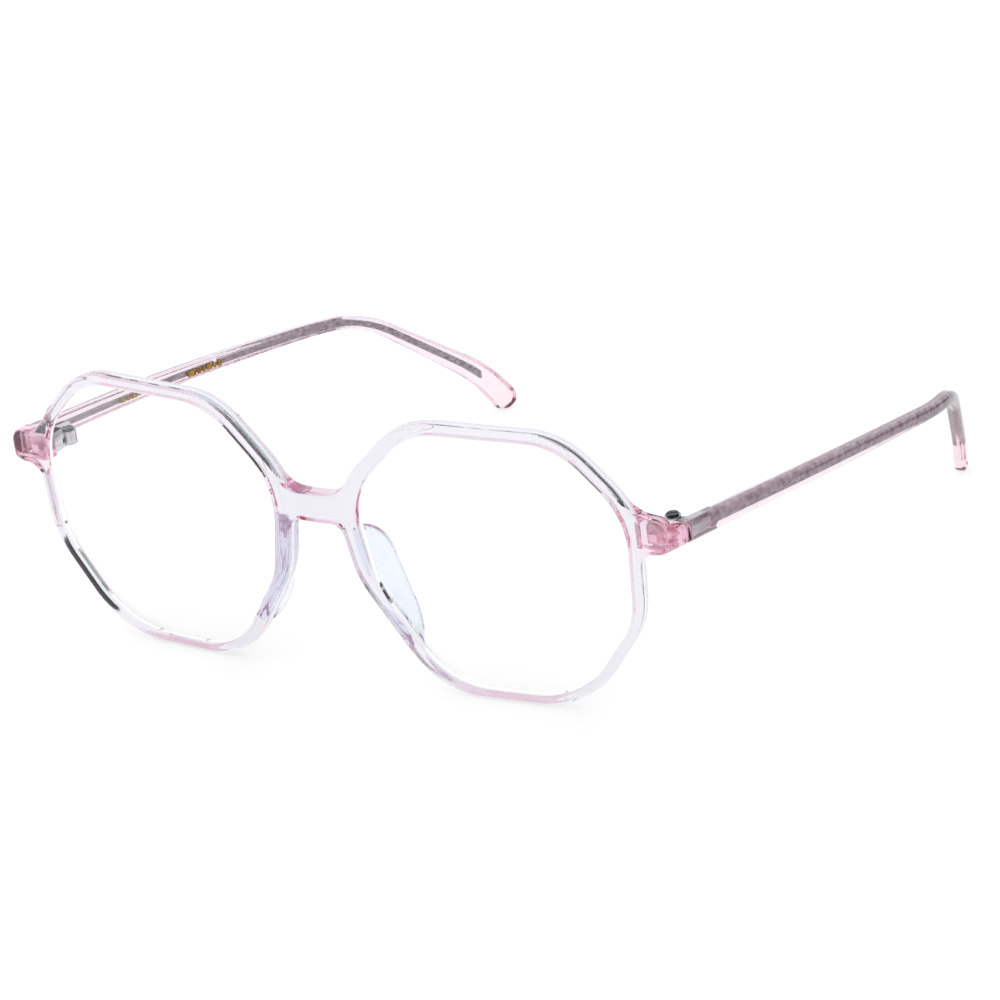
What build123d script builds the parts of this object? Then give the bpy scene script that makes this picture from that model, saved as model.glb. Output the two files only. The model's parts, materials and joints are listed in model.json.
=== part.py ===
from build123d import *
import os
from math import cos, radians, sin

os.makedirs("parts", exist_ok=True)

# A pair of clear acetate spectacles with rounded octagonal eyes, in millimetres and degrees.
# +X is the wearer's left, +Y points back towards the ears and +Z is up. The spectacles stand on the
# bottoms of the rims and the tips of the temples, with the floor at Z = 0.
# Everything is modelled for the wearer's left, and mirrored for the right.

# Front: two flat halves that meet in a short bend in the bridge, leaning forwards at the top
front_y = -70.75  # Y of the bridge, which centres the spectacles over the origin
eye_height = 25.29  # height of the eye centres above the floor
tilt = 6.65  # forward lean of the front
half_angle = 4.46  # sweep back of each half
bridge_bend = 2.6  # half the width of the bend
eye_offset = 34.87  # from the middle to each eye's centre
front_thickness = 3.2
front_rounding = 0.75

# Corners of one eye's opening and of its rim, about the eye's centre, with X towards the temple
opening_corners = [(14.6, 24.1), (-13.9, 24.0), (-27.0, 10.8), (-23.8, -7.0),
                   (-12.5, -24.1), (13.6, -24.1), (25.2, -7.9), (26.3, 12.0)]
opening_radii = [13, 14, 13, 15, 14, 17.5, 15, 14]
rim_corners = [(15.6, 26.2), (-15.6, 26.1), (-30.7, 10.9), (-27.8, -5.1),
               (-14.2, -25.8), (14.6, -25.8), (27.4, -7.9), (28.5, 12.9)]
rim_radii = [15, 16, 15.5, 17.5, 16, 19, 17, 16]

# Bridge and end pieces, in the plane of one half: X from the middle, Y above the eye's centre
bridge_top = 10.8
bridge_bottom = 5.0
bridge_root = 9  # how far from the middle the bridge runs into the rim
bridge_top_corner = (6.2, 10.8)  # about where the bridge meets the rim, above and below
bridge_bottom_corner = (5.3, 5.0)
bridge_top_fillet = 5.4
bridge_bottom_fillet = 2.2
end_piece_corners = [(58, 5.1), (68.6, 5.8), (68.6, 11.9), (58, 12.9)]
end_piece_top_corner = (62.6, 12.6)  # about where the end piece meets the rim, above and below
end_piece_bottom_corner = (62.6, 5.3)
end_piece_top_fillet = 7
end_piece_bottom_fillet = 3
end_piece_corner = 2.3

# Hinge block: the back of the end piece, with a flat that the temple closes against
block_back = 10.4  # how far behind the bridge the flat lies
block_plan = [(61.6, 5.6), (61.6, block_back), (70.1, block_back), (68.4, 5.6)]  # from above
block_side = [(5.6, 5.9), (block_back, 5.9), (block_back, 10.1), (5.6, 11.4)]  # from the side
block_corner = 1.5
block_rounding = 0.7
joint_gap = 0.1

# Lenses: a meniscus with a bevel that sits in the rim's groove
lens_radius = 200
lens_thickness = 1.8
lens_bulge = 0.85  # how far the middle of the lens stands in front of the rim
lens_clearance = 0.05
bevel_height = 0.5
bevel_width = 0.9
bevel_root = 1.5  # how far the bevel's ring runs into the lens
bevel_chamfer = 0.3
groove_clearance = 0.06

# Nose pads: the lines of a pad's root, its middle and its free edge, in the plane of the front
pad_lines = [[(8.0, 3.4), (10.3, -6.4), (16.2, -16.8)],
             [(9.5, 2.3), (11.5, -6.6), (15.4, -15.8)],
             [(11.0, -2.3), (12.6, -7.2), (13.9, -12.0)]]
pad_widths = [2.5, 1.9, 1.2]
pad_depths = [0, 2.4, 4.6]
pad_chamfer = 0.3

# Hinges, in the plan of the front: X from the middle, Y behind the bridge
pin_x = 63.35
pin_back = 16.1
pin_bottom = 5.3
knuckle_radius = 1.4
knuckle_height = 0.85
knuckle_gap = 0.04
knuckle_room = 2.3  # radius kept free round the temple's knuckle
screw_radius = 0.6
screw_clearance = 0.04
head_radius = 1.05
head_height = 0.35
slot_width = 0.3
slot_depth = 0.2
slot_turn = 35
plate_x = 64.5  # middle of the plate and of the anchor behind it
plate_width = 3.4
plate_bottom = 6.3
plate_height = 3.2
plate_thickness = 0.9
arm_inside = 0.3  # how far the arms to the knuckles reach inwards of the pin
arm_flare = 0.5
anchor_width = 1.6
anchor_height = 1.4
anchor_depth = 1.8

# Leaf and shank of the temple's hinge, with Y behind the bridge and Z above the floor
leaf_inside = 66.6  # X of the leaf's inner face
leaf_thickness = 1.0
leaf_length = 6.4
leaf_height = 2.3
leaf_place = (17.0, 33.8)
leaf_slope = -3.7
web_flare = 0.4
shank_length = 5.5
shank_thickness = 1.5
shank_height = 2.9
shank_place = (13.8, 34.05)

# Temples: the middle line seen from the side (Y behind the bridge, Z above the floor) and from
# above (X from the middle, Y behind the bridge), with the half sizes at each corner of the line
side_line = [(5, 34.8), (57, 31.45), (112.3, 26.1), (136.5, 8.3), (141.8, 0.4)]
side_radii = [2000, 27, 36]
temple_half_heights = [1.95, 1.5, 1.2, 2.1, 2.4]
plan_line = [(68.5, 5), (70.4, 57), (68.2, 106.5), (47.3, 150)]
plan_radii = [600, 60]
temple_half_widths = [1.5, 1.4, 1.3, 1.25]
tip_corner = 2.1
temple_dome = 1.1  # rounding of the outer side
temple_rounding = 0.6
joint_rounding = 0.3

# Core wires: flat bands along the same lines, which end before the tips
core_half_height = 0.55
core_half_width = 0.35
core_inset = 0.5  # how far the wires lie inwards of the middle of the temples
core_start = 16.6
core_end = 135.6
nick_place = (67.8, 30.8)  # a small nick in the wire's upper edge
nick_size = (1.2, 0.8)

front_origin = (0, front_y, eye_height)
front_back = Vector(0, cos(radians(tilt)), sin(radians(tilt)))
front_up = Vector(0, -sin(radians(tilt)), cos(radians(tilt)))
front_plan = Plane(front_origin, x_dir=(1, 0, 0), z_dir=front_up)
front_side = Plane(front_origin, x_dir=front_back, z_dir=(1, 0, 0))
floor_plan = Plane((0, front_y, 0), x_dir=(1, 0, 0), z_dir=(0, 0, 1))
floor_side = Plane((0, front_y, 0), x_dir=(0, 1, 0), z_dir=(1, 0, 0))
backwards = Axis(front_origin, front_back)
reach = 90  # past the end of everything, for cuts and for bands that are trimmed

# The face of the front's left half is tangent to the bend in the middle of the bridge
bend_radius = bridge_bend / sin(radians(half_angle))
bend_sag = bend_radius * (1 - cos(radians(half_angle)))
half_across = Vector(1, 0, 0) * cos(radians(half_angle)) + front_back * sin(radians(half_angle))
half_origin = front_plan.from_local_coords((bridge_bend, bend_sag, 0)) - half_across * bridge_bend
half_normal = half_across.cross(front_up)
half_face = Plane(half_origin, x_dir=half_across, z_dir=half_normal)
eye_face = Plane(half_origin + half_across * eye_offset, x_dir=half_across, z_dir=half_normal)
bevel_front = -front_thickness / 2 + bevel_width / 2
bend_axis = Axis(front_plan.from_local_coords((0, bend_radius, 0)), front_up)


def corner_near(sketch, place):
    """The corner of a sketch that is nearest to a place in it."""
    x, y = place
    return min(sketch.vertices(), key=lambda corner: (corner.X - x) ** 2 + (corner.Y - y) ** 2)


def flat_faces(part, direction):
    """The flat faces of a part that look along a direction, either way."""
    return part.faces().filter_by(lambda face: abs(face.normal_at().dot(direction)) > 0.99)


def outline_of(faces, end_face):
    """The edges round a group of faces that touch, without the edges of an end face."""
    edges = [edge for face in faces for edge in face.edges()]
    return [edge for edge in edges if sum(edge.is_same(other) for other in edges) == 1
            and not any(edge.is_same(other) for other in end_face.edges())]


def band(line, halves):
    """Corners of a band along a line, with half its width at each corner of the line."""
    points = [Vector(*point) for point in line]
    side = Vector(0, 0, 1)
    left, right = [], []
    for i, (point, half) in enumerate(zip(points, halves)):
        before = (point - points[i - 1]).normalized() if i else (points[1] - point).normalized()
        after = (points[i + 1] - point).normalized() if i + 1 < len(points) else before
        mitre = (before + after).cross(side).normalized()
        mitre_length = half / mitre.dot(before.cross(side))
        left.append(point - mitre * mitre_length)
        right.append(point + mitre * mitre_length)
    return left + right[::-1]


def band_radii(radii, end_radius=0):
    """Corner radii for a band: its bends on both sides, and the two corners of its far end."""
    return [0, *radii, end_radius, end_radius, *radii[::-1], 0]


# The back of the end piece, with the flat that carries the hinge and stops the temple
with BuildPart() as hinge_block:
    with BuildSketch(front_plan):
        with BuildLine():
            Polyline(*block_plan, close=True)
        make_face()
    extrude(amount=reach)
    with BuildSketch(front_side):
        with BuildLine():
            Polyline(*block_side, close=True)
        make_face()
    extrude(amount=reach, mode=Mode.INTERSECT)
    outer_side = hinge_block.faces().sort_by(Axis.X)[-1]
    fillet(outer_side.edges().filter_by(lambda edge: abs(edge.tangent_at(0.5).dot(front_up)) < 0.5
                                        and abs(edge.tangent_at(0.5).dot(front_back)) > 0.5), block_corner)
    fillet(hinge_block.faces().sort_by(backwards)[-1].edges(), block_rounding)

with BuildPart() as front_half:
    with BuildSketch(half_face) as outline:
        with BuildLine():
            FilletPolyline(*[(eye_offset + x, y) for x, y in rim_corners], radius=rim_radii, close=True)
        make_face()
        with BuildLine():
            Polyline((bridge_bend, bridge_bottom), (bridge_root, bridge_bottom), (bridge_root, bridge_top),
                     (bridge_bend, bridge_top), close=True)
        make_face()
        with BuildLine():
            Polyline(*end_piece_corners, close=True)
        make_face()
        fillet(corner_near(outline, bridge_top_corner), bridge_top_fillet)
        fillet(corner_near(outline, bridge_bottom_corner), bridge_bottom_fillet)
        fillet(corner_near(outline, end_piece_top_corner), end_piece_top_fillet)
        fillet(corner_near(outline, end_piece_bottom_corner), end_piece_bottom_fillet)
        fillet(outline.vertices().group_by(Axis.X)[-1], end_piece_corner)
        with BuildLine():
            FilletPolyline(*[(eye_offset + x, y) for x, y in opening_corners], radius=opening_radii,
                           close=True)
        make_face(mode=Mode.SUBTRACT)
    extrude(amount=-front_thickness)
    face_edges = flat_faces(front_half, half_normal).edges()
    fillet(face_edges.filter_by(lambda edge: half_face.to_local_coords(edge.center()).X > bridge_bend + 0.01),
           front_rounding)
    middle_section = flat_faces(front_half, half_across).sort_by(Axis.X)[0]
    add(hinge_block.part)

with BuildPart() as bridge:
    revolve(middle_section, axis=bend_axis, revolution_arc=-2 * half_angle)

# The rim's groove is a V that runs round the opening, halfway through the rim
with BuildPart() as groove_ring:
    with BuildSketch(eye_face.offset(bevel_front + groove_clearance)):
        with BuildLine():
            FilletPolyline(*opening_corners, radius=opening_radii, close=True)
        make_face()
        offset(amount=bevel_height + groove_clearance)
    extrude(amount=-bevel_width - 2 * groove_clearance)
    chamfer(flat_faces(groove_ring, half_normal).edges(), bevel_chamfer)

with BuildPart() as bevel:
    with BuildSketch(eye_face.offset(bevel_front)):
        with BuildLine():
            FilletPolyline(*opening_corners, radius=opening_radii, close=True)
        make_face()
        offset(amount=bevel_height)
    extrude(amount=-bevel_width)
    chamfer(flat_faces(bevel, half_normal).edges(), bevel_chamfer)
    with BuildSketch(eye_face.offset(bevel_front)):
        with BuildLine():
            FilletPolyline(*opening_corners, radius=opening_radii, close=True)
        make_face()
        offset(amount=-bevel_root)
    extrude(amount=-bevel_width, mode=Mode.SUBTRACT)

with BuildPart() as lens_left:
    with BuildSketch(eye_face):
        with BuildLine():
            FilletPolyline(*opening_corners, radius=opening_radii, close=True)
        make_face()
        offset(amount=-lens_clearance)
    extrude(amount=10, both=True)
    with Locations(eye_face.from_local_coords((0, 0, lens_bulge - lens_radius))):
        Sphere(lens_radius, mode=Mode.INTERSECT)
        Sphere(lens_radius - lens_thickness, mode=Mode.SUBTRACT)
    add(bevel.part)

with BuildPart() as nose_pad_left:
    for line, width, depth in zip(pad_lines, pad_widths, pad_depths):
        with BuildSketch(half_face.offset(-front_thickness - depth)):
            with BuildLine():
                middle = ThreePointArc(*line)
            SlotArc(middle, width)
    loft()
    chamfer(nose_pad_left.faces().sort_by(backwards)[-1].edges(), pad_chamfer)

# The front's hinge has an upper and a lower knuckle; the temple's has the one between them
barrel_height = 3 * knuckle_height + 2 * knuckle_gap
barrel_top = pin_bottom + barrel_height
plate_back = block_back + plate_thickness
with BuildPart() as front_hinge_left:
    with BuildSketch(front_plan.offset(pin_bottom)):
        with BuildLine():
            Polyline((pin_x - arm_inside, pin_back), (pin_x - arm_inside, plate_back),
                     (pin_x + knuckle_radius + arm_flare, plate_back), (pin_x + knuckle_radius, pin_back),
                     close=True)
        make_face()
        with Locations((pin_x, pin_back)):
            Circle(knuckle_radius)
    extrude(amount=barrel_height)
    with BuildSketch(front_plan.offset(pin_bottom + knuckle_height)):
        with Locations((pin_x, pin_back)):
            Circle(knuckle_room)
    extrude(amount=knuckle_height + 2 * knuckle_gap, mode=Mode.SUBTRACT)
    with BuildSketch(front_plan.offset(pin_bottom)):
        with Locations((pin_x, pin_back)):
            Circle(screw_radius + screw_clearance)
    extrude(amount=barrel_height, mode=Mode.SUBTRACT)
    with BuildSketch(front_plan.offset(plate_bottom)):
        with Locations((plate_x, block_back + plate_thickness / 2)):
            Rectangle(plate_width, plate_thickness)
    extrude(amount=plate_height)
    with BuildSketch(front_plan.offset(plate_bottom + plate_height / 2 - anchor_height / 2)):
        with Locations((plate_x, block_back - anchor_depth / 2)):
            Rectangle(anchor_width, anchor_depth)
    extrude(amount=anchor_height)

with BuildPart() as temple_hinge_left:
    with BuildSketch(front_plan.offset(pin_bottom + knuckle_height + knuckle_gap)):
        with BuildLine():
            web_end = leaf_inside + leaf_thickness / 2
            web_half = knuckle_radius + web_flare
            Polyline((pin_x, pin_back - knuckle_radius), (web_end, pin_back - web_half),
                     (web_end, pin_back + web_half), (pin_x, pin_back + knuckle_radius), close=True)
        make_face()
        with Locations((pin_x, pin_back)):
            Circle(knuckle_radius)
            Circle(screw_radius + screw_clearance, mode=Mode.SUBTRACT)
    extrude(amount=knuckle_height)
    with BuildSketch(floor_side.offset(leaf_inside)):
        with Locations(leaf_place):
            SlotOverall(leaf_length, leaf_height, rotation=leaf_slope)
    extrude(amount=leaf_thickness)
    with BuildSketch(floor_side.offset(leaf_inside + leaf_thickness)):
        with Locations(shank_place):
            Rectangle(shank_length, shank_height, rotation=leaf_slope)
    extrude(amount=shank_thickness)

with BuildPart() as hinge_screw_left:
    with BuildSketch(front_plan.offset(pin_bottom)):
        with Locations((pin_x, pin_back)):
            Circle(screw_radius)
    extrude(amount=barrel_height)
    with BuildSketch(front_plan.offset(barrel_top)):
        with Locations((pin_x, pin_back)):
            Circle(head_radius)
    extrude(amount=head_height)
    with BuildSketch(front_plan.offset(barrel_top + head_height)):
        with Locations((pin_x, pin_back)):
            Rectangle(2 * head_radius, slot_width, rotation=slot_turn)
    extrude(amount=-slot_depth, mode=Mode.SUBTRACT)

# The front is one piece of acetate, with a pocket for each hinge
with BuildPart() as front:
    add(front_half.part)
    add(groove_ring.part, mode=Mode.SUBTRACT)
    add(front_hinge_left.part, mode=Mode.SUBTRACT)
    mirror(about=Plane.YZ)
    add(bridge.part)

with BuildPart() as core_wire_left:
    with BuildSketch(floor_side):
        with BuildLine():
            FilletPolyline(*band(side_line, [core_half_height] * len(side_line)),
                           radius=band_radii(side_radii), close=True)
        make_face()
    extrude(amount=reach)
    with BuildSketch(floor_plan):
        with BuildLine():
            core_plan_line = [(x - core_inset, y) for x, y in plan_line]
            FilletPolyline(*band(core_plan_line, [core_half_width] * len(plan_line)),
                           radius=band_radii(plan_radii), close=True)
        make_face()
    extrude(amount=reach, mode=Mode.INTERSECT)
    with BuildSketch(floor_plan):
        with Locations((reach / 2, (core_start + core_end) / 2)):
            Rectangle(reach, core_end - core_start)
    extrude(amount=reach, mode=Mode.INTERSECT)
    with BuildSketch(floor_side):
        with Locations(nick_place):
            Rectangle(*nick_size)
    extrude(amount=reach, mode=Mode.SUBTRACT)

with BuildPart() as temple_left:
    with BuildSketch(floor_side):
        with BuildLine():
            FilletPolyline(*band(side_line, temple_half_heights), radius=band_radii(side_radii, tip_corner),
                           close=True)
        make_face()
    extrude(amount=reach)
    with BuildSketch(floor_plan):
        with BuildLine():
            FilletPolyline(*band(plan_line, temple_half_widths), radius=band_radii(plan_radii), close=True)
        make_face()
    extrude(amount=reach, mode=Mode.INTERSECT)
    with BuildSketch(front_plan):
        with Locations((reach / 2, 0)):
            Rectangle(reach, 2 * (block_back + joint_gap))
    extrude(amount=reach, both=True, mode=Mode.SUBTRACT)
    joint_face = temple_left.faces().sort_by(Axis.Y)[0]
    outer_outline = outline_of(temple_left.faces().filter_by(lambda face: face.normal_at().X > 0.5),
                               joint_face)
    inner_outline = outline_of(temple_left.faces().filter_by(lambda face: face.normal_at().X < -0.5),
                               joint_face)
    fillet(outer_outline, temple_dome)
    fillet(inner_outline, temple_rounding)
    fillet(temple_left.faces().sort_by(Axis.Y)[0].edges(), joint_rounding)
    add(core_wire_left.part, mode=Mode.SUBTRACT)
    add(temple_hinge_left.part, mode=Mode.SUBTRACT)

with BuildPart() as lens_right:
    mirror(lens_left.part, about=Plane.YZ)
with BuildPart() as nose_pad_right:
    mirror(nose_pad_left.part, about=Plane.YZ)
with BuildPart() as front_hinge_right:
    mirror(front_hinge_left.part, about=Plane.YZ)
with BuildPart() as temple_hinge_right:
    mirror(temple_hinge_left.part, about=Plane.YZ)
with BuildPart() as hinge_screw_right:
    mirror(hinge_screw_left.part, about=Plane.YZ)
with BuildPart() as core_wire_right:
    mirror(core_wire_left.part, about=Plane.YZ)
with BuildPart() as temple_right:
    mirror(temple_left.part, about=Plane.YZ)

front.part.label = "front"
lens_left.part.label = "lens_left"
lens_right.part.label = "lens_right"
nose_pad_left.part.label = "nose_pad_left"
nose_pad_right.part.label = "nose_pad_right"
front_hinge_left.part.label = "front_hinge_left"
front_hinge_right.part.label = "front_hinge_right"
temple_hinge_left.part.label = "temple_hinge_left"
temple_hinge_right.part.label = "temple_hinge_right"
hinge_screw_left.part.label = "hinge_screw_left"
hinge_screw_right.part.label = "hinge_screw_right"
core_wire_left.part.label = "core_wire_left"
core_wire_right.part.label = "core_wire_right"
temple_left.part.label = "temple_left"
temple_right.part.label = "temple_right"

export_step(front.part, "parts/front.step")
export_step(lens_left.part, "parts/lens_left.step")
export_step(lens_right.part, "parts/lens_right.step")
export_step(nose_pad_left.part, "parts/nose_pad_left.step")
export_step(nose_pad_right.part, "parts/nose_pad_right.step")
export_step(front_hinge_left.part, "parts/front_hinge_left.step")
export_step(front_hinge_right.part, "parts/front_hinge_right.step")
export_step(temple_hinge_left.part, "parts/temple_hinge_left.step")
export_step(temple_hinge_right.part, "parts/temple_hinge_right.step")
export_step(hinge_screw_left.part, "parts/hinge_screw_left.step")
export_step(hinge_screw_right.part, "parts/hinge_screw_right.step")
export_step(core_wire_left.part, "parts/core_wire_left.step")
export_step(core_wire_right.part, "parts/core_wire_right.step")
export_step(temple_left.part, "parts/temple_left.step")
export_step(temple_right.part, "parts/temple_right.step")
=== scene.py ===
import json
import math

import bmesh
import bpy
from mathutils import Matrix, Vector
from mathutils.bvhtree import BVHTree


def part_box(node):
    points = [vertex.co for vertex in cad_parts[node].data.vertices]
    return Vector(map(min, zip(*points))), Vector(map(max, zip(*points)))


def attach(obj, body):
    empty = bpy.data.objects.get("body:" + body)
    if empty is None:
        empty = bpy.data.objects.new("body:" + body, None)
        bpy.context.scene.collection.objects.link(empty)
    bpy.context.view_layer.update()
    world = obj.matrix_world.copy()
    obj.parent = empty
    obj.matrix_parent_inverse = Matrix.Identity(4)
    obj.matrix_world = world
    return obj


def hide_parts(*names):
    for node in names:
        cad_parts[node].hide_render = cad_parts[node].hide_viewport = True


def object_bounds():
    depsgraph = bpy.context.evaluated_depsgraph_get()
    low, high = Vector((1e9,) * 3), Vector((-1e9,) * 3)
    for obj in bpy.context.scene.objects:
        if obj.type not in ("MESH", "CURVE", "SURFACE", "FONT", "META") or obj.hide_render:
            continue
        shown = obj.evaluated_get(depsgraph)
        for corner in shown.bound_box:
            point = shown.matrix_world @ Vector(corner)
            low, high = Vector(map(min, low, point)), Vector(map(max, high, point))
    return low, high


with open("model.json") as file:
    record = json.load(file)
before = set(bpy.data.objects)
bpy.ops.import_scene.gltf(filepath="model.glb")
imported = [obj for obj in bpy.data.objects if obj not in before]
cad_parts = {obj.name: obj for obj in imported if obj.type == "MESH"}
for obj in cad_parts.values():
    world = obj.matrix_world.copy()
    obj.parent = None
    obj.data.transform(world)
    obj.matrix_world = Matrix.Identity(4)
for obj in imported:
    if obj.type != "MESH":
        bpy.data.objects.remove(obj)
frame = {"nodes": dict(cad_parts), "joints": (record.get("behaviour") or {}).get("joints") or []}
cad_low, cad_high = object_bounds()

nodes = frame["nodes"]
scene = bpy.context.scene
joints = {joint["name"]: joint for joint in frame["joints"]}
MM = 0.001

# The front's own directions: up along the hinges' axis, back towards the temples
up = Vector(joints["hinge_left"]["axis"]).normalized()
back = up.cross(Vector((1, 0, 0))).normalized()

# The flat that each temple closes against, this far in front of the hinge's axis
hinge_to_flat = 5.7 * MM

# Each eye of the front is turned by this angle, and its lens bulges forwards from the rim's face
eye_turn = math.radians(4.46)
lens_bulge = 0.85 * MM

# The rim's groove and the lens's bevel, as distances behind the rim's face in millimetres
groove_flats = (1.09, 2.11)
bevel_flats = (1.15, 2.05)

# Acetate skins stand this far off the CAD's surface, so that the two never lie in one plane
skin_lift = 0.02 * MM

# The foil bars on the right temple. Distances along the temple are counted from the bridge. The bars follow
# the middle of the wire, which has this height at one distance and rises towards the front.
bridge_y = -70.75 * MM
foil_line_z = 30.44 * MM
foil_line_at = 64 * MM
foil_line_rise = 0.08
foil_thickness = 0.045 * MM
foil_gap = 0.45

# Between the temples, from where the inner face of the right one is looked for
ray_start_x = -60 * MM


# ---------------------------------------------------------------- materials
class Paint:
    """A Principled material that is built up from procedural nodes, in the object's own coordinates."""

    def __init__(self, name):
        self.material = bpy.data.materials.new(name)
        self.material.use_nodes = True
        self.tree = self.material.node_tree
        self.shader = self.tree.nodes["Principled BSDF"]
        self.place = self.tree.nodes.new("ShaderNodeTexCoord").outputs["Object"]

    def set(self, **values):
        for key, value in values.items():
            self.shader.inputs[key.replace("_", " ")].default_value = value

    def node(self, kind, values=None, **settings):
        made = self.tree.nodes.new("ShaderNode" + kind)
        for key, value in settings.items():
            setattr(made, key, value)
        for key, value in (values or {}).items():
            if isinstance(value, bpy.types.NodeSocket):
                self.tree.links.new(value, made.inputs[key])
            else:
                made.inputs[key].default_value = value
        return made

    def noise(self, scale, stretch=(1, 1, 1), detail=3):
        moved = self.node("Mapping", {"Vector": self.place, "Scale": stretch})
        made = self.node("TexNoise", {"Vector": moved.outputs[0], "Scale": scale, "Detail": detail})
        return made.outputs["Fac"]

    def ramp(self, value, stops):
        """Colours or numbers along a value, as (position, colour) stops."""
        made = self.node("ValToRGB", {"Fac": value})
        elements = made.color_ramp.elements
        while len(elements) < len(stops):
            elements.new(0.5)
        for element, (position, colour) in zip(elements, stops):
            element.position = position
            element.color = (*colour, 1) if isinstance(colour, tuple) else (colour, colour, colour, 1)
        return made.outputs["Color"]

    def near(self, spots):
        """1 around each of the spots, fading to 0 at its radius."""
        full = 0.35
        total = None
        for spot, radius in spots:
            away = self.node("VectorMath", {0: self.place, 1: spot}, operation="DISTANCE").outputs["Value"]
            span = {"Value": away, "From Min": radius * full, "From Max": radius, "To Min": 1.0, "To Max": 0.0}
            fade = self.node("MapRange", span, interpolation_type="SMOOTHSTEP").outputs["Result"]
            if total is not None:
                fade = self.node("Math", {0: total, 1: fade}, operation="MAXIMUM").outputs[0]
            total = fade
        return total

    def blend(self, factor, first, second):
        made = self.node("Mix", data_type="RGBA")
        for socket, value in zip((made.inputs[0], made.inputs[6], made.inputs[7]), (factor, first, second)):
            if isinstance(value, bpy.types.NodeSocket):
                self.tree.links.new(value, socket)
            else:
                socket.default_value = (*value, 1)
        return made.outputs[2]

    def colour(self, socket):
        self.tree.links.new(socket, self.shader.inputs["Base Color"])

    def roughness(self, socket):
        self.tree.links.new(socket, self.shader.inputs["Roughness"])

    def bump(self, height, strength, distance):
        bump = self.node("Bump", {"Height": height, "Strength": strength, "Distance": distance})
        self.tree.links.new(bump.outputs["Normal"], self.shader.inputs["Normal"])

    def absorb(self, colour, density):
        volume = self.node("VolumeAbsorption", {"Color": (*colour, 1), "Density": density})
        self.tree.links.new(volume.outputs["Volume"], self.tree.nodes["Material Output"].inputs["Volume"])


def acetate(name, tint, absorb, density, blush=None, spots=None, roughness=0.0):
    """Polished clear acetate. Its colour deepens with the length of the path through it, and at the spots."""
    paint = Paint(name)
    paint.set(IOR=1.49, Transmission_Weight=1.0, Roughness=roughness)
    cloud = paint.noise(90, detail=2)
    pale = paint.ramp(cloud, [(0.35, tuple(0.985 * c for c in tint)), (0.65, tint)])
    paint.colour(paint.blend(paint.near(spots), pale, blush) if spots else pale)
    paint.bump(paint.noise(160, detail=1), 0.05, 0.02 * MM)
    paint.absorb(absorb, density)
    return paint.material


pale_pink = (0.93, 0.80, 0.83)


def metal(name, dark, light, rough, scale=900, stretch=(1, 0.12, 1), depth=0.02, edge=None, sunk=None):
    """Metal with drawn or milled streaks. It can carry painted shade, an edge colour mixed in where the surface
    turns away from the view, and pale pink near spots.
    """
    paint = Paint(name)
    paint.set(Metallic=1.0)
    streaks = paint.noise(scale, stretch, detail=4)
    colour = paint.ramp(streaks, [(0.3, dark), (0.7, light)])
    if edge:
        # Painted shade: the edge colour is mixed in where the surface turns away from the view
        facing = paint.node("LayerWeight", {"Blend": 0.5}).outputs["Facing"]
        colour = paint.blend(paint.ramp(facing, [(0.4, 0.0), (0.75, 1.0)]), colour, edge)
    if sunk:
        colour = paint.blend(paint.near(sunk), colour, pale_pink)
    paint.colour(colour)
    paint.roughness(paint.ramp(streaks, [(0.3, rough * 1.3), (0.7, rough * 0.8)]))
    paint.bump(streaks, 0.6, depth * MM)
    return paint.material


def on_both_sides(place, radius):
    """A spot on the left and its mirror image on the right."""
    return [((side * place.x, place.y, place.z), radius) for side in (1, -1)]


temple_low, temple_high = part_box("temple_left")
hinge = Vector(joints["hinge_left"]["pos_m"])
end_piece = hinge - back * 8 * MM + Vector((3 * MM, 0, 0))
tip = Vector((temple_low.x, temple_high.y, temple_low.z))

front_acetate = acetate("front_acetate", tint=(0.84, 0.965, 0.98), absorb=(0.9, 0.15, 0.42), density=52,
                        blush=(0.94, 0.89, 0.925), spots=on_both_sides(end_piece, 7 * MM))
temple_acetate = acetate("temple_acetate", tint=(0.92, 0.94, 0.965), absorb=(0.9, 0.14, 0.40), density=50,
                         blush=(0.96, 0.92, 0.93),
                         spots=on_both_sides(tip, 12 * MM) + on_both_sides(end_piece, 6 * MM))
pad_acetate = acetate("pad_acetate", tint=(0.84, 0.91, 0.98), absorb=(0.9, 0.4, 0.7), density=22, roughness=0.08)

lens_paint = Paint("lens")
lens_paint.set(IOR=1.5, Transmission_Weight=1.0, Roughness=0.0)
lens_clouds = lens_paint.noise(12, detail=1)
lens_paint.colour(lens_paint.ramp(lens_clouds, [(0.3, (0.985, 0.992, 1.0)), (0.7, (1.0, 1.0, 1.0))]))
lens_glass = lens_paint.material

# The anchors of the hinges, sunk in the pink end pieces, take on their colour. Their edge colour is painted
# shade, near black where the metal turns away from the view
hinge_metal = metal("hinge_metal", dark=(0.44, 0.42, 0.44), light=(0.70, 0.67, 0.69), rough=0.2,
                    edge=(0.05, 0.055, 0.06), sunk=on_both_sides(end_piece, 6 * MM))
screw_metal = metal("screw_metal", dark=(0.02, 0.02, 0.03), light=(0.14, 0.15, 0.17), rough=0.18, scale=2500,
                    stretch=(1, 1, 0.1))
core_metal = metal("core_metal", dark=(0.30, 0.22, 0.24), light=(0.56, 0.51, 0.56), rough=0.45, scale=2600,
                   stretch=(1, 0.25, 1), depth=0.04)
foil = metal("gold_foil", dark=(0.10, 0.04, 0.005), light=(0.50, 0.27, 0.05), rough=0.35, scale=1600,
             stretch=(1, 1, 1), depth=0.01)


def paint_node(node, material):
    """Gives a CAD node its material."""
    data = nodes[node].data
    data.materials.clear()
    data.materials.append(material)


# ---------------------------------------------------------------- polished skins
def tree_of(node):
    """A search tree of a CAD node's surface."""
    edit = bmesh.new()
    edit.from_mesh(nodes[node].data)
    tree = BVHTree.FromBMesh(edit)
    edit.free()
    return tree


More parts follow.
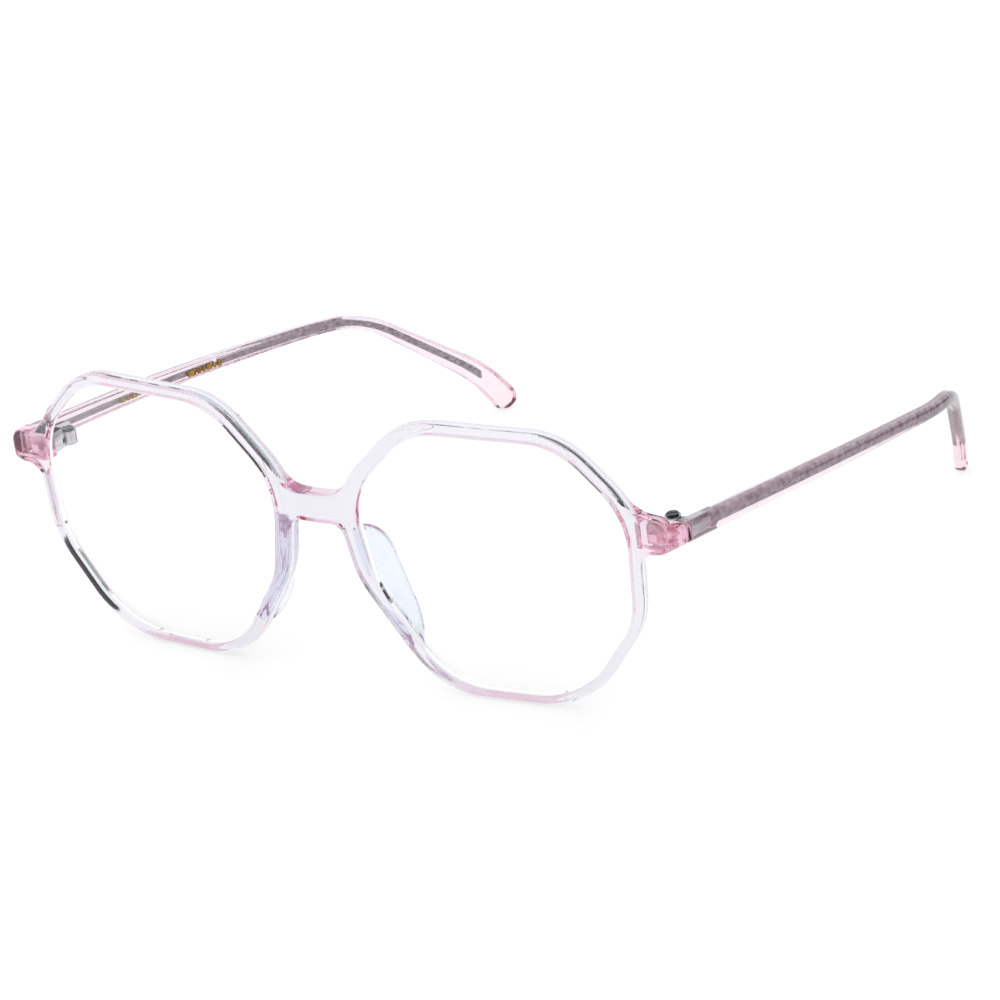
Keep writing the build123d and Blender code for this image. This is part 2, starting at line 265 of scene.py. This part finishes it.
class Skin:
    """A copy of a CAD node's surface, with the CAD's own normals."""

    def __init__(self, node):
        self.node = node
        source = nodes[node].data
        weld = 0.0001 * MM
        self.edit = bmesh.new()
        self.edit.from_mesh(source)
        self.normal = self.edit.loops.layers.float_vector.new("cad_normal")
        corner = 0
        for face in self.edit.faces:
            for loop in face.loops:
                loop[self.normal] = source.corner_normals[corner].vector
                corner += 1
        bmesh.ops.remove_doubles(self.edit, verts=self.edit.verts, dist=weld)

    def drop(self, faces):
        """Deletes faces, and returns the edges round the holes they leave."""
        bmesh.ops.delete(self.edit, geom=faces, context="FACES")
        return [edge for edge in self.edit.edges if len(edge.link_faces) == 1]

    def new_faces(self, faces):
        """Gives flat normals to faces that the CAD doesn't have."""
        self.edit.normal_update()
        for face in faces:
            for loop in face.loops:
                loop[self.normal] = face.normal

    def close_pockets(self, metal_nodes, wanted):
        """Closes the pockets that hold metal, so that the metal lies inside the acetate."""
        trees = [tree_of(metal_node) for metal_node in metal_nodes]
        touching = 0.03 * MM
        facing = -0.8
        pocket = []
        for face in self.edit.faces:
            middle = face.calc_center_median()
            if wanted(middle):
                for tree in trees:
                    _, normal, _, distance = tree.find_nearest(middle)
                    if distance < touching and normal.dot(face.normal) < facing:
                        pocket.append(face)
                        break
        self.new_faces(bmesh.ops.holes_fill(self.edit, edges=self.drop(pocket), sides=0)["faces"])

    def close_ring(self, wanted):
        """Takes away a ring of faces, such as a groove, and spans the gap between its two rims."""
        edges = self.drop([face for face in self.edit.faces if wanted(face)])
        self.new_faces(bmesh.ops.bridge_loops(self.edit, edges=edges)["faces"])

    def finish(self, name, body, material, grow=0.0):
        """Makes the skin a piece that rides on a body and replaces its CAD node."""
        for vertex in self.edit.verts:
            outwards = sum((loop[self.normal] for loop in vertex.link_loops), Vector())
            if outwards.length > 0:
                vertex.co += outwards.normalized() * grow
        for face in self.edit.faces:
            face.smooth = True
        mesh = bpy.data.meshes.new(name)
        self.edit.to_mesh(mesh)
        self.edit.free()
        mesh.normals_split_custom_set([item.vector for item in mesh.attributes["cad_normal"].data])
        mesh.materials.append(material)
        piece = bpy.data.objects.new(name, mesh)
        scene.collection.objects.link(piece)
        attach(piece, body)
        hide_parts(self.node)


def in_ring(side, low, high):
    """Picks the faces of a ring round one eye, between two flats at these distances behind the rim's face."""
    turn = 1 if side == "left" else -1
    forwards = (Vector((turn * math.sin(eye_turn), 0, 0)) - back * math.cos(eye_turn)).normalized()
    rim_face = max(vertex.co.dot(forwards) for vertex in nodes["lens_" + side].data.vertices) - lens_bulge
    lens_low, lens_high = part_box("lens_" + side)
    room = 1.2 * MM
    tolerance = 0.01
    parallel = 0.9

    def wanted(face):
        if any(not a - room < c < b + room for v in face.verts for a, c, b in zip(lens_low, v.co, lens_high)):
            return False
        depths = [(rim_face - vertex.co.dot(forwards)) / MM for vertex in face.verts]
        if abs(face.normal.dot(forwards)) > parallel:
            return any(all(abs(depth - flat) < tolerance for depth in depths) for flat in (low, high))
        return all(low - tolerance < depth < high + tolerance for depth in depths)
    return wanted


# Faces of the front's pockets lie before the flat, with a hair's breadth to spare
before_flat = hinge.dot(back) - hinge_to_flat - 0.005 * MM
front_skin = Skin("front")
front_skin.close_pockets(["front_hinge_left", "front_hinge_right"], lambda place: place.dot(back) < before_flat)
for side in ("left", "right"):
    front_skin.close_ring(in_ring(side, *groove_flats))
front_skin.finish("front_acetate", "front", front_acetate, grow=skin_lift)
for side in ("left", "right"):
    temple_skin = Skin("temple_" + side)
    temple_skin.close_pockets(["core_wire_" + side, "temple_hinge_" + side], lambda place: True)
    temple_skin.finish("temple_acetate_" + side, "temple_" + side, temple_acetate,
                       grow=skin_lift)
    pad_skin = Skin("nose_pad_" + side)
    pad_skin.finish("nose_pad_acetate_" + side, "front", pad_acetate, grow=skin_lift)
    lens_skin = Skin("lens_" + side)
    lens_skin.close_ring(in_ring(side, *bevel_flats))
    lens_skin.finish("lens_glass_" + side, "front", lens_glass)
    paint_node("front_hinge_" + side, hinge_metal)
    paint_node("temple_hinge_" + side, hinge_metal)
    paint_node("hinge_screw_" + side, screw_metal)
    paint_node("core_wire_" + side, core_metal)


# ---------------------------------------------------------------- foil bars on the right temple
def foil_bars(name, start, widths, height):
    """Plain bars of foil, stamped on the flat inner side of the right temple, along its core wire."""
    inner = tree_of("temple_right")
    edit = bmesh.new()
    steps, rows = 4, 2
    along = start
    for width in widths:
        grid = []
        for i in range(steps + 1):
            y = (along + width * i / steps) * MM
            middle = foil_line_z + (foil_line_at - y) * foil_line_rise
            column = []
            for j in range(rows + 1):
                z = middle + height * MM * (j / rows - 0.5)
                spot, *_ = inner.ray_cast(Vector((ray_start_x, y + bridge_y, z)), Vector((-1, 0, 0)))
                column.append((spot.x, y + bridge_y, z))
            grid.append(column)
        under, over = ([[edit.verts.new((x + lift, y, z)) for x, y, z in column] for column in grid]
                       for lift in (0.0, foil_thickness))
        for i in range(steps):
            for j in range(rows):
                edit.faces.new((over[i][j], over[i][j + 1], over[i + 1][j + 1], over[i + 1][j]))
                edit.faces.new((under[i][j], under[i + 1][j], under[i + 1][j + 1], under[i][j + 1]))
        rim = [(i, 0) for i in range(steps)] + [(steps, j) for j in range(rows)]
        rim += [(i, rows) for i in range(steps, 0, -1)] + [(0, j) for j in range(rows, 0, -1)]
        for (i, j), (k, m) in zip(rim, rim[1:] + rim[:1]):
            edit.faces.new((under[i][j], over[i][j], over[k][m], under[k][m]))
        along += width + foil_gap
    bmesh.ops.recalc_face_normals(edit, faces=edit.faces)
    mesh = bpy.data.meshes.new(name)
    edit.to_mesh(mesh)
    edit.free()
    mesh.materials.append(foil)
    piece = bpy.data.objects.new(name, mesh)
    scene.collection.objects.link(piece)
    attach(piece, "temple_right")


foil_bars("foil_bars_front", start=37.5, widths=(1.6, 0.9, 1.8), height=0.8)
foil_bars("foil_bars_back", start=58.5, widths=(2.6, 1.2, 0.9, 1.7, 0.8, 1.3), height=1.1)

# ---------------------------------------------------------------- floor, light and camera
floor_mesh = bpy.data.meshes.new("floor")
floor_edit = bmesh.new()
bmesh.ops.create_circle(floor_edit, cap_ends=True, segments=96, radius=4)
floor_edit.to_mesh(floor_mesh)
floor_edit.free()
floor = bpy.data.objects.new("floor", floor_mesh)
floor.location = (0, 0, cad_low.z - 0.0002)
scene.collection.objects.link(floor)
floor_paint = Paint("floor")
floor_paint.set(Roughness=0.9, Specular_IOR_Level=0.2, Emission_Color=(1, 1, 1, 1), Emission_Strength=0.6)
floor_paint.colour(floor_paint.ramp(floor_paint.noise(30, detail=2), [(0.3, 0.49), (0.7, 0.5)]))
floor_mesh.materials.append(floor_paint.material)

# A white studio with two round dark panels, high on the right and low behind, which draw the dark lines in
# the rims. Each has a direction and a radius, both on a sphere of radius 1.
dark_panels = (((0.67, 0.36, 0.65), 0.44), ((0.3, 0.95, 0.03), 0.3))
world = bpy.data.worlds.new("studio")
scene.world = world
world.use_nodes = True
sky = world.node_tree
background = sky.nodes["Background"]
background.inputs["Strength"].default_value = 1.08
direction = sky.nodes.new("ShaderNodeTexCoord").outputs["Generated"]
light = None
for centre, size in dark_panels:
    angle = sky.nodes.new("ShaderNodeVectorMath")
    angle.operation = "DISTANCE"
    sky.links.new(direction, angle.inputs[0])
    angle.inputs[1].default_value = Vector(centre).normalized()
    fade = sky.nodes.new("ShaderNodeMapRange")
    fade.interpolation_type = "SMOOTHSTEP"
    sky.links.new(angle.outputs["Value"], fade.inputs["Value"])
    fade.inputs["From Min"].default_value = size * 0.85
    fade.inputs["From Max"].default_value = size * 1.05
    fade.inputs["To Min"].default_value = 0.0
    fade.inputs["To Max"].default_value = 1.0
    if light is None:
        light = fade.outputs["Result"]
    else:
        both = sky.nodes.new("ShaderNodeMath")
        both.operation = "MULTIPLY"
        sky.links.new(light, both.inputs[0])
        sky.links.new(fade.outputs["Result"], both.inputs[1])
        light = both.outputs[0]
sky.links.new(light, background.inputs["Color"])

scene.view_settings.view_transform = "Standard"

# Light has to pass many clear surfaces, one behind the other
scene.cycles.max_bounces = 32
scene.cycles.glossy_bounces = 24
scene.cycles.transmission_bounces = 24


def look_from(azimuth, elevation, distance, target, roll, lens):
    """A camera at a distance from a target. Azimuth 0 looks along +Y, elevation is above the floor."""
    azimuth, elevation, roll = (math.radians(angle) for angle in (azimuth, elevation, roll))
    away = Vector((math.sin(azimuth) * math.cos(elevation), -math.cos(azimuth) * math.cos(elevation),
                   math.sin(elevation)))
    level = Vector((math.cos(azimuth), math.sin(azimuth), 0))
    upright = away.cross(level)
    right = level * math.cos(roll) + upright * math.sin(roll)
    top = upright * math.cos(roll) - level * math.sin(roll)
    camera = bpy.data.objects.new("camera", bpy.data.cameras.new("camera"))
    camera.data.lens = lens
    camera.data.sensor_width = 36
    camera.data.clip_start = 0.05
    camera.matrix_world = Matrix((
        (right.x, top.x, away.x, target[0] + away.x * distance),
        (right.y, top.y, away.y, target[1] + away.y * distance),
        (right.z, top.z, away.z, target[2] + away.z * distance),
        (0, 0, 0, 1)))
    scene.collection.objects.link(camera)
    scene.camera = camera


look_from(azimuth=33.467, elevation=19.51, distance=0.88016, target=(0.03979, -0.07249, 0.04024), roll=-4.159,
          lens=188.008)
